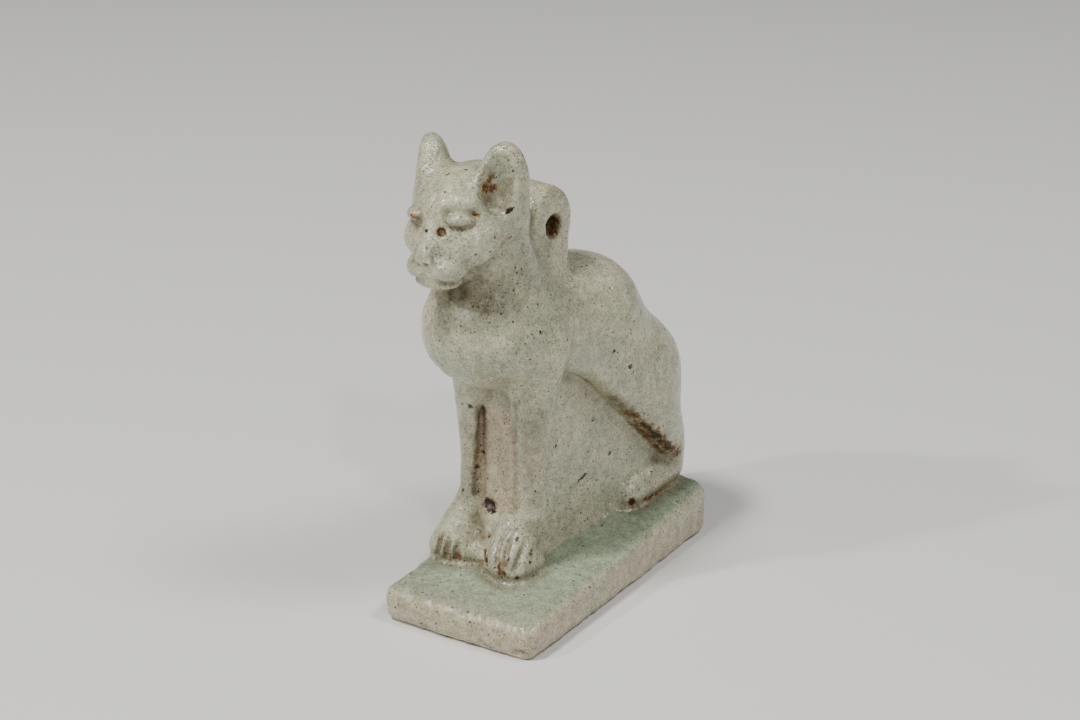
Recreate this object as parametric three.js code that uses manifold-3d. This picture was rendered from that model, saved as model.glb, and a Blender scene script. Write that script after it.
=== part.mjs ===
// A seated cat amulet: cat, plinth and hanging loop moulded in one piece of glazed faience.
// Millimetres, +Z up. The cat looks along -Y and its left side is +X.
// The origin is the middle of the plinth's underside.

import * as THREE from 'three';
import { triTable } from 'three/addons/objects/MarchingCubes.js';
import Module from 'manifold-3d';

// Driving sizes in millimetres, angles in degrees
const FIGURE_HEIGHT = 32;
const FIGURE_ASIDE = -1.05;
const FIGURE_TURN = -5;
const HEEL_CLEARANCE = 0.7;
const HEAD_LEAN = -4;
const PLINTH_LENGTH = 25.4;
const PLINTH_WIDTH = 12.5;
const PLINTH_FRONT = 2.5;
const PLINTH_REAR = 4.0;
const FRONT_CORNER = 1.1;
const REAR_CORNER = 1.6;
const PLINTH_EDGE = 1.0;
const WORN_EDGE_INSET = 0.5;
const WORN_EDGE_HEIGHT = 0.8;
const PLINTH_FILLET = 1.3;
const FOOT_FILLET = 0.4;
const PAW_STEP = 0.1;
const BORE_DIAMETER = 1.7;
const LOOP_WALL = 1.65;
const LOOP_CROWN = 1.95;
const LOOP_WIDTH = 3.2;
const LOOP_FILLET = 1.0;
const LOOP_ROUND = 1.0;

// The figure is laid out in parts, 32 of them from its paws to its ear tips
const PARTS = 32;
const part = FIGURE_HEIGHT / PARTS;
const BORE_SPOT = [-0.25, -0.25, 24.0];
const HEAD_PIVOT = [-0.05, -8, 24];
const JAW_PLANE = 33.65;
const CHIN_LEVEL = 22;
const NAPE_LINE = -4.5;
const BELLY_LEVEL = 13.9;
const BELLY_SLOPE = 0.2;
const CREASE_PLANE = 13.93;
const WEB_FRONT = -5.0;
const WEB_REAR = 12.0;
const WEB_REAR_LEAN = 0.55;
const WEB_TOP = 14.5;
const WEB_SIDE = 2.5;
const WEB_SPREAD = 0.8;
const WEB_SPREAD_END = 9;
const HEEL_LEVEL = 4;
const PAW_SHIFT = 0.3;
const LEG_SHIFT = -0.4;
const FIGURE_SIDE = 6;
const FIGURE_REACH = 14.5;

// Roundings, in parts, where each form runs into the rest
const HEAD_ROUND = { face: 1.2, cheek: 1.0, lip: 0.4, nose: 0.35, bridge: 0.8, mouth: 0.3, chin: 0.35 };
const EYE_ROUND = { socket: 0.5, brow: 0.6, eye: 0.2 };
const EAR_ROUND = { jaw: 0.6, nape: 1.2, ear: 1.0, hollow: 0.8 };
const BODY_ROUND = { chest: 2.0, back: 2.5, loin: 1.2, rump: 1.5, flank: 1.0 };
const BELLY_ROUND = { belly: 1.5, web: 0.3, crease: 0.8 };
const LEG_ROUND = { paw: 0.8, sole: 0.6, between: 0.7, foot: 0.5 };
const WEB_ROUND = { side: 0.8, top: 1.0 };
const WHOLE_ROUND = { head: 0.6, legs: 0.8 };
const SPINE_SOFTNESS = 0.7;

// Fineness of the surface, in millimetres and triangles
const CELL = 0.3;
const FACE_CELL = 0.2;
const TRIANGLE_GOAL = 8400;
const HEAD_CARE = 6;
const BORE_SIDES = 28;
const TRIM_DEPTH = 0.4;
const MARGIN = 0.9;

// Smooth joins and cuts of distance fields

function join(a, b, round) {
  const overlap = Math.max(round - Math.abs(a - b), 0);
  return Math.min(a, b) - (overlap * overlap) / (4 * round);
}

function cut(a, b, round) {
  return -join(-a, b, round);
}

function both(a, b, round) {
  return -join(-a, -b, round);
}

function easeBetween(low, high, value) {
  const t = Math.min(Math.max((value - low) / (high - low), 0), 1);
  return t * t * (3 - 2 * t);
}

function mirrored(p, softness = 0, shift = 0) {
  const x = p[0] + shift;
  return [Math.sqrt(x * x + softness * softness), p[1], p[2]];
}

function rotation(aroundZ, aroundY) {
  const turn = new THREE.Matrix4().makeRotationZ(THREE.MathUtils.degToRad(aroundZ));
  const lean = new THREE.Matrix4().makeRotationY(THREE.MathUtils.degToRad(aroundY));
  return turn.multiply(lean).elements;
}

const UPRIGHT = rotation(0, 0);

// Building forms: each returns a function that gives the distance from a point

function ball(centre, radii, frame = UPRIGHT) {
  const [cx, cy, cz] = centre;
  const [rx, ry, rz] = radii;
  return (p) => {
    const dx = p[0] - cx;
    const dy = p[1] - cy;
    const dz = p[2] - cz;
    const x = (frame[0] * dx + frame[1] * dy + frame[2] * dz) / rx;
    const y = (frame[4] * dx + frame[5] * dy + frame[6] * dz) / ry;
    const z = (frame[8] * dx + frame[9] * dy + frame[10] * dz) / rz;
    const reach = Math.sqrt(x * x + y * y + z * z);
    const slope = Math.sqrt((x / rx) ** 2 + (y / ry) ** 2 + (z / rz) ** 2);
    return (reach * (reach - 1)) / Math.max(slope, 1e-6);
  };
}

function rod(start, end, startRadius, endRadius, taper = 1) {
  const [ax, ay, az] = start;
  const bx = end[0] - ax;
  const by = end[1] - ay;
  const bz = end[2] - az;
  const lengthSquared = bx * bx + by * by + bz * bz;
  return (p) => {
    const px = p[0] - ax;
    const py = p[1] - ay;
    const pz = p[2] - az;
    const along = Math.min(Math.max((px * bx + py * by + pz * bz) / lengthSquared, 0), 1);
    const x = px - along * bx;
    const y = py - along * by;
    const z = pz - along * bz;
    const left = taper === 1 ? 1 - along : (1 - along) ** taper;
    const radius = endRadius + (startRadius - endRadius) * left;
    return Math.sqrt(x * x + y * y + z * z) - radius;
  };
}

function pad(centre, halves, round) {
  return (p) => {
    const x = Math.abs(p[0] - centre[0]) - halves[0] + round;
    const y = Math.abs(p[1] - centre[1]) - halves[1] + round;
    const z = Math.abs(p[2] - centre[2]) - halves[2] + round;
    const outside = Math.hypot(Math.max(x, 0), Math.max(y, 0), Math.max(z, 0));
    return outside + Math.min(Math.max(x, y, z), 0) - round;
  };
}

// Head

const skull = ball([0, -7.0, 26.8], [3.55, 3.5, 2.95]);
const face = rod([0, -8.4, 26.2], [0, -10.5, 24.4], 3.05, 1.9);
const cheek = ball([2.2, -9.2, 25.2], [1.35, 1.8, 1.5]);
const lip = ball([0.85, -10.95, 23.85], [1.4, 1.5, 0.98]);
const nose = ball([0, -12.1, 24.55], [0.75, 0.45, 0.42]);
const bridge = rod([0, -9.6, 27.9], [0, -11.9, 25.0], 0.8, 0.6);
const mouth = rod([0, -12.35, 23.4], [2.1, -11.1, 22.95], 0.14, 0.12);
const chin = ball([0, -10.3, 22.87], [2.25, 1.75, 0.75]);
const socket = rod([1.0, -11.7, 26.7], [2.75, -10.45, 27.5], 0.5, 0.42);
const brow = rod([0.8, -10.7, 28.0], [2.7, -9.5, 28.4], 0.32, 0.3);
const eye = rod([1.4, -11.0, 26.95], [2.3, -10.3, 27.2], 0.4, 0.38);
const nape = ball([0, -5.7, 26.0], [3.0, 2.7, 3.3]);
const leftFrame = rotation(38, 8);
const leftEar = ball([2.75, -7.2, 28.2], [1.8, 1.25, 3.4], leftFrame);
const leftHollow = ball([3.05, -8.2, 28.9], [0.8, 0.65, 1.8], leftFrame);
const rightFrame = rotation(62, 13);
const rightEar = ball([3.1, -7.35, 28.2], [1.9, 1.4, 3.4], rightFrame);
const rightHollow = ball([4.1, -7.9, 28.9], [0.8, 0.65, 1.8], rightFrame);
const leanFrame = rotation(0, HEAD_LEAN);

function leaned(p) {
  const x = p[0] - HEAD_PIVOT[0];
  const z = p[2] - HEAD_PIVOT[2];
  return [leanFrame[0] * x + leanFrame[2] * z, p[1], leanFrame[8] * x + leanFrame[10] * z + HEAD_PIVOT[2]];
}

function faceField(p, side) {
  let d = join(skull(p), face(p), HEAD_ROUND.face);
  d = join(d, cheek(side), HEAD_ROUND.cheek);
  d = join(d, lip(side), HEAD_ROUND.lip);
  d = join(d, nose(p), HEAD_ROUND.nose);
  d = join(d, bridge(p), HEAD_ROUND.bridge);
  d = join(d, chin(p), HEAD_ROUND.chin);
  d = cut(d, mouth(side), HEAD_ROUND.mouth);
  d = cut(d, socket(side), EYE_ROUND.socket);
  d = join(d, brow(side), EYE_ROUND.brow);
  return join(d, eye(side), EYE_ROUND.eye);
}

function headField(point) {
  const p = leaned(point);
  const side = mirrored(p);
  const behindJaw = (p[1] - p[2] + JAW_PLANE) * Math.SQRT1_2;
  let d = both(faceField(p, side), behindJaw, EAR_ROUND.jaw);
  d = join(d, nape(p), EAR_ROUND.nape);
  const [ear, hollow] = p[0] < 0 ? [rightEar, rightHollow] : [leftEar, leftHollow];
  d = join(d, ear(side), EAR_ROUND.ear);
  return cut(d, hollow(side), EAR_ROUND.hollow);
}

// Body, from the neck over the back to the rump

const neck = rod([0, -6.2, 25.2], [0, -4.6, 18.5], 2.7, 3.7);
const chest = ball([0.6, -6.3, 18.0], [3.85, 3.9, 3.9]);
const back = rod([0.4, -2.5, 17.2], [0.4, 4.2, 16.2], 3.6, 4.1);
const loin = rod([0.4, 4.2, 16.2], [0.8, 8.6, 10.6], 4.1, 4.15);
const rump = rod([0.8, 8.6, 10.6], [1.2, 9.7, 4.6], 4.15, 4.0);
const flank = rod([1.0, -1.0, 15.0], [1.4, 8.6, 7.6], 3.2, 3.4);

function webSide(p) {
  return WEB_SIDE + WEB_SPREAD * easeBetween(0, WEB_SPREAD_END, p[1]);
}

function bodyField(p) {
  const side = mirrored(p, SPINE_SOFTNESS);
  let d = join(neck(p), chest(side), BODY_ROUND.chest);
  d = join(d, back(side), BODY_ROUND.back);
  d = join(d, loin(side), BODY_ROUND.loin);
  d = join(d, rump(side), BODY_ROUND.rump);
  d = join(d, flank(side), BODY_ROUND.flank);
  const belowFlank = (p[1] + p[2] - CREASE_PLANE) * Math.SQRT1_2;
  const belowBelly = p[2] - BELLY_LEVEL + BELLY_SLOPE * p[1];
  const under = both(belowFlank, belowBelly, BELLY_ROUND.belly);
  const outside = webSide(p) - Math.abs(p[0]);
  return cut(d, both(under, outside, BELLY_ROUND.web), BELLY_ROUND.crease);
}

// Legs, paws and the web that fills the space under the belly

const foreleg = rod([2.3, -4.4, 16.5], [2.65, -4.9, 4.5], 2.6, 0.95, 2.2);
const forepaw = rod([2.1, -4.9, 3.4], [2.5, -6.4, 1.2], 1.4, 1.7);
const sole = pad([2.45, -5.8, 0.4], [1.75, 1.75, 1.2], 0.8);
const betweenPaws = rod([-0.2, -4.6, 3.0], [-0.3, -6.0, 0.9], 1.2, 0.9);
const hindFoot = rod([2.95, 6.5, 1.75], [2.9, 11.0, 2.6], 1.35, 1.7);

function legField(p) {
  const pawSide = mirrored(p, 0, PAW_SHIFT);
  let d = join(foreleg(mirrored(p, 0, LEG_SHIFT)), forepaw(pawSide), LEG_ROUND.paw);
  d = join(d, sole(pawSide), LEG_ROUND.sole);
  d = join(d, betweenPaws(p), LEG_ROUND.between);
  return join(d, hindFoot(mirrored(p)), LEG_ROUND.foot);
}

function webField(p) {
  const rearLimit = WEB_REAR - WEB_REAR_LEAN * Math.max(p[2] - HEEL_LEVEL, 0);
  const endWalls = Math.max(WEB_FRONT - p[1], p[1] - rearLimit);
  const walls = both(Math.abs(p[0]) - webSide(p), endWalls, WEB_ROUND.side);
  return both(walls, p[2] - WEB_TOP, WEB_ROUND.top);
}

// Loop behind the neck, in millimetres around its bore

const stem = ball([-0.25, -0.15, 20.5], [2.1, 2.45, 3.0]);

function loopField(p) {
  const across = Math.abs(p[0] - BORE_SPOT[0]) * part;
  const deep = (p[1] - BORE_SPOT[1]) * part;
  const up = (p[2] - BORE_SPOT[2]) * part;
  const halfDepth = BORE_DIAMETER / 2 + LOOP_WALL;
  const halfHeight = BORE_DIAMETER / 2 + LOOP_CROWN;
  const mean = (halfDepth + halfHeight) / 2;
  const ring = (Math.hypot(deep / halfDepth, up / halfHeight) - 1) * mean;
  const disc = both(ring, across - LOOP_WIDTH / 2, LOOP_ROUND);
  return join(disc, stem(p) * part, LOOP_FILLET);
}

// Plinth: a slab, thicker under the haunches, with rounded corners and worn lower edges

function plinthField(x, y, z) {
  const worn = Math.max(WORN_EDGE_HEIGHT - z, 0) / WORN_EDGE_HEIGHT;
  const round = y < 0 ? FRONT_CORNER : REAR_CORNER;
  const overX = Math.abs(x) - (PLINTH_WIDTH / 2 - round);
  const overY = Math.abs(y) - (PLINTH_LENGTH / 2 - round);
  const corner = Math.hypot(Math.max(overX, 0), Math.max(overY, 0));
  const wall = corner + Math.min(Math.max(overX, overY), 0) - round + WORN_EDGE_INSET * worn * worn;
  const thickness = PLINTH_FRONT + (PLINTH_REAR - PLINTH_FRONT) * (y / PLINTH_LENGTH + 0.5);
  const overWall = wall + PLINTH_EDGE;
  const overTop = z - thickness + PLINTH_EDGE;
  const edge = Math.hypot(Math.max(overWall, 0), Math.max(overTop, 0));
  return edge + Math.min(Math.max(overWall, overTop), 0) - PLINTH_EDGE;
}

// The whole amulet

const figureBase = PLINTH_FRONT + PAW_STEP;
const turnFrame = rotation(FIGURE_TURN, 0);
const figureBack = PLINTH_LENGTH / 2 - HEEL_CLEARANCE - WEB_REAR * part;

function inFigure(x, y, z) {
  const dx = (x - FIGURE_ASIDE) / part;
  const dy = (y - figureBack) / part;
  const figureX = turnFrame[0] * dx + turnFrame[1] * dy;
  const figureY = turnFrame[4] * dx + turnFrame[5] * dy;
  return [figureX, figureY, (z - figureBase) / part];
}

function inWorld([x, y, z]) {
  const worldX = (turnFrame[0] * x + turnFrame[4] * y) * part + FIGURE_ASIDE;
  const worldY = (turnFrame[1] * x + turnFrame[5] * y) * part + figureBack;
  return new THREE.Vector3(worldX, worldY, z * part + figureBase);
}

function amuletField(x, y, z) {
  const p = inFigure(x, y, z);
  const cat = join(join(bodyField(p), headField(p), WHOLE_ROUND.head), legField(p), WHOLE_ROUND.legs) * part;
  const figure = join(cat, loopField(p), LOOP_FILLET);
  const stand = join(webField(p) * part, plinthField(x, y, z), PLINTH_FILLET);
  return Math.max(join(figure, stand, FOOT_FILLET), -TRIM_DEPTH - z);
}

// Surface of a field: samples on a grid, then one vertex for each grid edge that crosses it

const GRID_EDGES = [
  [0, 0, 0, 0], [1, 0, 0, 1], [0, 1, 0, 0], [0, 0, 0, 1],
  [0, 0, 1, 0], [1, 0, 1, 1], [0, 1, 1, 0], [0, 0, 1, 1],
  [0, 0, 0, 2], [1, 0, 0, 2], [1, 1, 0, 2], [0, 1, 0, 2],
];
const GRID_CORNERS = [
  [0, 0, 0], [1, 0, 0], [1, 1, 0], [0, 1, 0], [0, 0, 1], [1, 0, 1], [1, 1, 1], [0, 1, 1],
];
const CROSSING_CLEARANCE = 0.06;

function gridLines(low, high, cellAt) {
  const lines = [low];
  while (lines.at(-1) < high) {
    lines.push(lines.at(-1) + cellAt(lines.at(-1)));
  }
  return lines;
}

function sampleField(field, lines) {
  const counts = lines.map((axis) => axis.length);
  const strides = [1, counts[0], counts[0] * counts[1]];
  const values = new Float32Array(counts[0] * counts[1] * counts[2]);
  for (let k = 0; k < counts[2]; k += 1) {
    for (let j = 0; j < counts[1]; j += 1) {
      for (let i = 0; i < counts[0]; i += 1) {
        values[i + j * strides[1] + k * strides[2]] = field(lines[0][i], lines[1][j], lines[2][k]);
      }
    }
  }
  return { counts, strides, values };
}

function marchSurface(field, lines) {
  const { counts, strides, values } = sampleField(field, lines);
  const points = [];
  const faces = [];
  const vertexOnEdge = new Int32Array(values.length * 3).fill(-1);
  const cornerSteps = GRID_CORNERS.map(([i, j, k]) => i + j * strides[1] + k * strides[2]);

  function crossing(i, j, k, edge) {
    const [di, dj, dk, axis] = GRID_EDGES[edge];
    const spot = [i + di, j + dj, k + dk];
    const index = spot[0] + spot[1] * strides[1] + spot[2] * strides[2];
    const key = index * 3 + axis;
    if (vertexOnEdge[key] < 0) {
      const here = values[index];
      const there = values[index + strides[axis]];
      const share = Math.min(Math.max(here / (here - there), CROSSING_CLEARANCE), 1 - CROSSING_CLEARANCE);
      const place = spot.map((line, n) => lines[n][line]);
      place[axis] += share * (lines[axis][spot[axis] + 1] - place[axis]);
      vertexOnEdge[key] = points.length / 3;
      points.push(...place);
    }
    return vertexOnEdge[key];
  }

  for (let k = 0; k < counts[2] - 1; k += 1) {
    for (let j = 0; j < counts[1] - 1; j += 1) {
      for (let i = 0; i < counts[0] - 1; i += 1) {
        const index = i + j * strides[1] + k * strides[2];
        const mask = cornerSteps.reduce((bits, step, n) => bits | (values[index + step] < 0 ? 1 << n : 0), 0);
        for (let n = mask * 16; triTable[n] >= 0; n += 3) {
          faces.push(crossing(i, j, k, triTable[n + 2]));
          faces.push(crossing(i, j, k, triTable[n + 1]));
          faces.push(crossing(i, j, k, triTable[n]));
        }
      }
    }
  }
  return { points, faces };
}

// Thinning: edges collapse in the order of the error that they cause, so flat places keep few
// triangles and carved ones keep many. The surface stays closed, because an edge collapses only
// where its two ends share exactly two neighbours.

const POINT_PULL = 0.004;
const LEAST_TURN = 0.3;
const ERROR_TERMS = 10;
const GONE = -1e9;
const TINY = 1e-14;

class Thinner {
  constructor(points, faces, careAt) {
    this.points = Float64Array.from(points);
    this.faces = Int32Array.from(faces);
    this.count = this.faces.length / 3;
    this.alive = new Uint8Array(this.count).fill(1);
    this.version = new Int32Array(this.points.length / 3);
    this.around = Array.from(this.version, () => []);
    this.faces.forEach((vertex, n) => this.around[vertex].push(Math.floor(n / 3)));
    this.errors = new Float64Array(this.version.length * ERROR_TERMS);
    this.heap = [];
    this.gatherErrors(careAt);
    this.offerEdges();
  }

  corner(face, n) {
    return this.faces[face * 3 + n];
  }

  normal(a, b, c) {
    const p = this.points;
    const ux = p[b * 3] - p[a * 3];
    const uy = p[b * 3 + 1] - p[a * 3 + 1];
    const uz = p[b * 3 + 2] - p[a * 3 + 2];
    const vx = p[c * 3] - p[a * 3];
    const vy = p[c * 3 + 1] - p[a * 3 + 1];
    const vz = p[c * 3 + 2] - p[a * 3 + 2];
    return [uy * vz - uz * vy, uz * vx - ux * vz, ux * vy - uy * vx];
  }

  addPlane(vertex, n, offset, weight) {
    const plane = [n[0], n[1], n[2], offset];
    let slot = vertex * ERROR_TERMS;
    for (let row = 0; row < 4; row += 1) {
      for (let column = row; column < 4; column += 1) {
        this.errors[slot] += plane[row] * plane[column] * weight;
        slot += 1;
      }
    }
  }

  gatherErrors(careAt) {
    for (let face = 0; face < this.count; face += 1) {
      const corners = [0, 1, 2].map((n) => this.corner(face, n));
      const across = this.normal(...corners);
      const area = Math.hypot(...across) || TINY;
      const n = across.map((value) => value / area);
      const at = this.points.subarray(corners[0] * 3, corners[0] * 3 + 3);
      const offset = -(n[0] * at[0] + n[1] * at[1] + n[2] * at[2]);
      const weight = area * careAt(at);
      for (const vertex of corners) {
        this.addPlane(vertex, n, offset, weight);
        this.addPull(vertex, weight * POINT_PULL);
      }
    }
  }

  offerEdges() {
    for (let n = 0; n < this.faces.length; n += 1) {
      const next = n % 3 === 2 ? n - 2 : n + 1;
      if (this.faces[n] < this.faces[next]) {
        this.offer(this.faces[n], this.faces[next]);
      }
    }
  }

  addPull(vertex, weight) {
    const [x, y, z] = this.points.subarray(vertex * 3, vertex * 3 + 3);
    this.addPlane(vertex, [1, 0, 0], -x, weight);
    this.addPlane(vertex, [0, 1, 0], -y, weight);
    this.addPlane(vertex, [0, 0, 1], -z, weight);
  }

  merged(a, b) {
    const first = this.errors.subarray(a * ERROR_TERMS, (a + 1) * ERROR_TERMS);
    const second = this.errors.subarray(b * ERROR_TERMS, (b + 1) * ERROR_TERMS);
    return first.map((value, n) => value + second[n]);
  }

  best(q, a, b) {
    const [xx, xy, xz, xw, yy, yz, yw, zz, zw] = q;
    const m = yy * zz - yz * yz;
    const n = xz * yz - xy * zz;
    const o = xy * yz - xz * yy;
    const whole = xx * m + xy * n + xz * o;
    if (Math.abs(whole) < TINY) {
      return [0, 1, 2].map((i) => (this.points[a * 3 + i] + this.points[b * 3 + i]) / 2);
    }
    const x = -(m * xw + n * yw + o * zw) / whole;
    const y = -(n * xw + (xx * zz - xz * xz) * yw + (xy * xz - xx * yz) * zw) / whole;
    const z = -(o * xw + (xy * xz - xx * yz) * yw + (xx * yy - xy * xy) * zw) / whole;
    return [x, y, z];
  }

  cost(q, [x, y, z]) {
    const square = q[0] * x * x + q[4] * y * y + q[7] * z * z;
    const mixed = q[1] * x * y + q[2] * x * z + q[5] * y * z;
    return square + 2 * (mixed + q[3] * x + q[6] * y + q[8] * z) + q[9];
  }

  offer(a, b) {
    const q = this.merged(a, b);
    const place = this.best(q, a, b);
    const entry = { a, b, place, cost: this.cost(q, place), mark: this.version[a] + this.version[b] };
    let n = this.heap.push(entry) - 1;
    while (n > 0 && this.heap[(n - 1) >> 1].cost > entry.cost) {
      this.heap[n] = this.heap[(n - 1) >> 1];
      n = (n - 1) >> 1;
    }
    this.heap[n] = entry;
  }

  cheapest() {
    const top = this.heap[0];
    const last = this.heap.pop();
    const size = this.heap.length;
    let n = 0;
    while (size > 0) {
      let child = 2 * n + 1;
      if (child + 1 < size && this.heap[child + 1].cost < this.heap[child].cost) {
        child += 1;
      }
      if (child >= size || this.heap[child].cost >= last.cost) {
        this.heap[n] = last;
        break;
      }
      this.heap[n] = this.heap[child];
      n = child;
    }
    return top;
  }

  neighbours(vertex) {
    const found = new Set();
    for (const face of this.around[vertex]) {
      for (let n = 0; n < 3; n += 1) {
        found.add(this.corner(face, n));
      }
    }
    found.delete(vertex);
    return found;
  }

  turnsOver(vertex, other, place) {
    const kept = this.points.slice(vertex * 3, vertex * 3 + 3);
    for (const face of this.around[vertex]) {
      const corners = [0, 1, 2].map((n) => this.corner(face, n));
      if (!corners.includes(other)) {
        const before = this.normal(...corners);
        this.points.set(place, vertex * 3);
        const after = this.normal(...corners);
        this.points.set(kept, vertex * 3);
        const dot = before[0] * after[0] + before[1] * after[1] + before[2] * after[2];
        if (dot < LEAST_TURN * Math.hypot(...before) * Math.hypot(...after)) {
          return true;
        }
      }
    }
    return false;
  }

  collapse({ a, b, place }) {
    this.points.set(place, a * 3);
    this.errors.set(this.merged(a, b), a * ERROR_TERMS);
    for (const face of this.around[b]) {
      const corners = [0, 1, 2].map((n) => this.corner(face, n));
      if (corners.includes(a)) {
        this.alive[face] = 0;
        this.count -= 1;
        const third = corners.find((vertex) => vertex !== a && vertex !== b);
        this.around[third] = this.around[third].filter((other) => other !== face);
      } else {
        this.faces[face * 3 + corners.indexOf(b)] = a;
        this.around[a].push(face);
      }
    }
    this.around[a] = this.around[a].filter((face) => this.alive[face]);
    this.around[b] = [];
    this.version[a] += 1;
    this.version[b] = GONE;
    for (const vertex of this.neighbours(a)) {
      this.offer(a, vertex);
    }
  }

  allowed({ a, b, place, mark }) {
    if (this.version[a] < 0 || this.version[b] < 0 || this.version[a] + this.version[b] !== mark) {
      return false;
    }
    const near = this.neighbours(b);
    const shared = [...this.neighbours(a)].filter((vertex) => near.has(vertex));
    return shared.length === 2 && !this.turnsOver(a, b, place) && !this.turnsOver(b, a, place);
  }

  thin(goal) {
    while (this.count > goal && this.heap.length > 0) {
      const entry = this.cheapest();
      if (this.allowed(entry)) {
        this.collapse(entry);
      }
    }
    const kept = new Map();
    const points = [];
    const faces = [];
    for (let face = 0; face < this.alive.length; face += 1) {
      for (let n = 0; n < 3 && this.alive[face]; n += 1) {
        const vertex = this.corner(face, n);
        if (!kept.has(vertex)) {
          kept.set(vertex, kept.size);
          points.push(...this.points.subarray(vertex * 3, vertex * 3 + 3));
        }
        faces.push(kept.get(vertex));
      }
    }
    return { points, faces };
  }
}

class CarvedGeometry extends THREE.BufferGeometry {
  constructor(field, lines, careAt, goal) {
    super();
    const rough = marchSurface(field, lines);
    const fine = new Thinner(rough.points, rough.faces, careAt).thin(goal);
    this.setAttribute('position', new THREE.Float32BufferAttribute(fine.points, 3));
    this.setIndex(fine.faces);
  }
}

// Solid operations

const wasm = await Module();
wasm.setup();

function solid(geometry) {
  const position = geometry.getAttribute('position');
  const merge = new Map();
  const vertProperties = [];
  const places = Array.from({ length: position.count }, (_, n) => {
    const spot = [position.getX(n), position.getY(n), position.getZ(n)].map(Math.fround);
    const key = spot.map((value) => value.toFixed(5)).join();
    if (!merge.has(key)) {
      merge.set(key, merge.size);
      vertProperties.push(...spot);
    }
    return merge.get(key);
  });
  const triVerts = Uint32Array.from(geometry.index.array, (n) => places[n]);
  const mesh = new wasm.Mesh({ numProp: 3, vertProperties: new Float32Array(vertProperties), triVerts });
  return new wasm.Manifold(mesh);
}

function carveAmulet() {
  const halfWidth = Math.max(PLINTH_WIDTH / 2, FIGURE_SIDE * part) + MARGIN;
  const halfLength = Math.max(PLINTH_LENGTH / 2, FIGURE_REACH * part) + MARGIN + Math.abs(figureBack);
  const top = figureBase + FIGURE_HEIGHT + MARGIN;
  const headLevel = figureBase + CHIN_LEVEL * part;
  const napeLine = NAPE_LINE * part + figureBack;
  const lines = [
    gridLines(-halfWidth, halfWidth, () => FACE_CELL),
    gridLines(-halfLength, halfLength, (y) => (y < napeLine ? FACE_CELL : CELL)),
    gridLines(-TRIM_DEPTH - MARGIN, top, (z) => (z < headLevel ? CELL : FACE_CELL)),
  ];
  const careAt = (at) => (at[2] > headLevel && at[1] < napeLine ? HEAD_CARE : 1);
  return new CarvedGeometry(amuletField, lines, careAt, TRIANGLE_GOAL);
}

function boreTool() {
  const tool = new THREE.CylinderGeometry(BORE_DIAMETER / 2, BORE_DIAMETER / 2, LOOP_WIDTH * 2, BORE_SIDES);
  tool.rotateZ(Math.PI / 2);
  tool.rotateZ(THREE.MathUtils.degToRad(FIGURE_TURN));
  tool.translate(...inWorld(BORE_SPOT).toArray());
  return tool;
}

function trimTool() {
  const depth = TRIM_DEPTH + 2 * MARGIN;
  const tool = new THREE.BoxGeometry(PLINTH_WIDTH * 3, PLINTH_LENGTH * 3, depth);
  tool.translate(0, 0, -depth / 2);
  return tool;
}

function amuletGeometry() {
  const finished = solid(carveAmulet()).subtract(solid(trimTool())).subtract(solid(boreTool())).getMesh();
  const geometry = new THREE.BufferGeometry();
  geometry.setAttribute('position', new THREE.Float32BufferAttribute(finished.vertProperties, 3));
  geometry.setIndex(new THREE.Uint32BufferAttribute(finished.triVerts, 1));
  geometry.computeVertexNormals();
  return geometry;
}

const faience = new THREE.MeshStandardMaterial({ color: 0xb7baa3, roughness: 0.38, metalness: 0 });
const amulet = new THREE.Mesh(amuletGeometry(), faience);
amulet.name = 'cat_amulet';

const group = new THREE.Group();
group.add(amulet);

export default group;
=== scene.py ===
import logging
import math
from abc import ABC, abstractmethod
from collections.abc import Iterator, Mapping
from dataclasses import dataclass
from enum import Enum

import bpy
import numpy as np
from mathutils import Matrix, Vector
from numpy.typing import NDArray


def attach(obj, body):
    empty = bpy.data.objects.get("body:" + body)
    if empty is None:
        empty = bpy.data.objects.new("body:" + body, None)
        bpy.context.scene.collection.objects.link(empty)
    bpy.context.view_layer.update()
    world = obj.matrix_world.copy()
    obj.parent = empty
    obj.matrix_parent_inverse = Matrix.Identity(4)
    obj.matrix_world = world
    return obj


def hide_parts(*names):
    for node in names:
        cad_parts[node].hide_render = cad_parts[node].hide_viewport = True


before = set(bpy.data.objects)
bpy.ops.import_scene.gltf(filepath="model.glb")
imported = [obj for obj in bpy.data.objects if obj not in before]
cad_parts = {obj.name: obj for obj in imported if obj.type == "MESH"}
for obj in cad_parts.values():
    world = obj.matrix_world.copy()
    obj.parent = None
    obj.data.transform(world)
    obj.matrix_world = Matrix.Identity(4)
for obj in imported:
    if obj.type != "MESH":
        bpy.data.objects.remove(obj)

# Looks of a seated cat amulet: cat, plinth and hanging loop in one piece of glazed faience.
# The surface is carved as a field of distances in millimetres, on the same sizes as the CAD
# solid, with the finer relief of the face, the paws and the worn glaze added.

Array = NDArray[np.float32]
Triple = tuple[float, float, float]
Band = tuple[float, float]
Colour = tuple[float, ...]
Socket = bpy.types.NodeSocket

MM = 0.001
TINY = 1e-6
DIAGONAL = math.sqrt(0.5)
NODE = "cat_amulet"

log = logging.getLogger("amulet")


# Distance fields


def join(a: Array, b: Array, size: float) -> Array:
    """Union of two fields, rounded over size millimetres."""
    overlap = np.maximum(size - np.abs(a - b), 0.0)
    return np.minimum(a, b) - overlap * overlap / (4.0 * size)


def cut(a: Array, b: Array, size: float) -> Array:
    """First field without the second, rounded over size millimetres."""
    return -join(-a, b, size)


def both(a: Array, b: Array, size: float) -> Array:
    """What two fields have in common, rounded over size millimetres."""
    return -join(-a, -b, size)


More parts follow.
